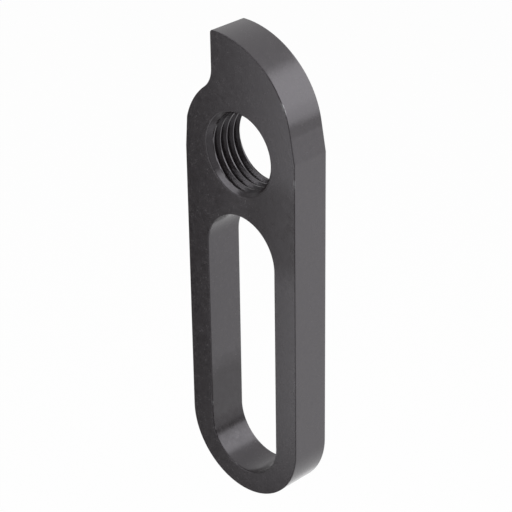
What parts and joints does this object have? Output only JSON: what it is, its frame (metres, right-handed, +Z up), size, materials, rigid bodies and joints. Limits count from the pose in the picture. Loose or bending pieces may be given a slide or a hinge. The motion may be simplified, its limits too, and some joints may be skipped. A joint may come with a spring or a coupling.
{
  "type": "bicycle derailleur hanger",
  "caption": "Flat anodised hanger plate with a tapped hole for the rear derailleur bolt, a stop tab and a long slot for the wheel axle.",
  "frame": {"origin": "on the axis of the tapped hole, at half of the plate's thickness", "axes": "+X across the width, +Y through the thickness from the front face to the back face, +Z up along the plate, from the slot towards the stop tab"},
  "size_m": [0.0164, 0.005, 0.0563],
  "materials": {
    "black_anodised": "satin"
  },
  "bodies": {
    "root": {"hanger_plate": "black_anodised"}
  },
  "joints": []
}
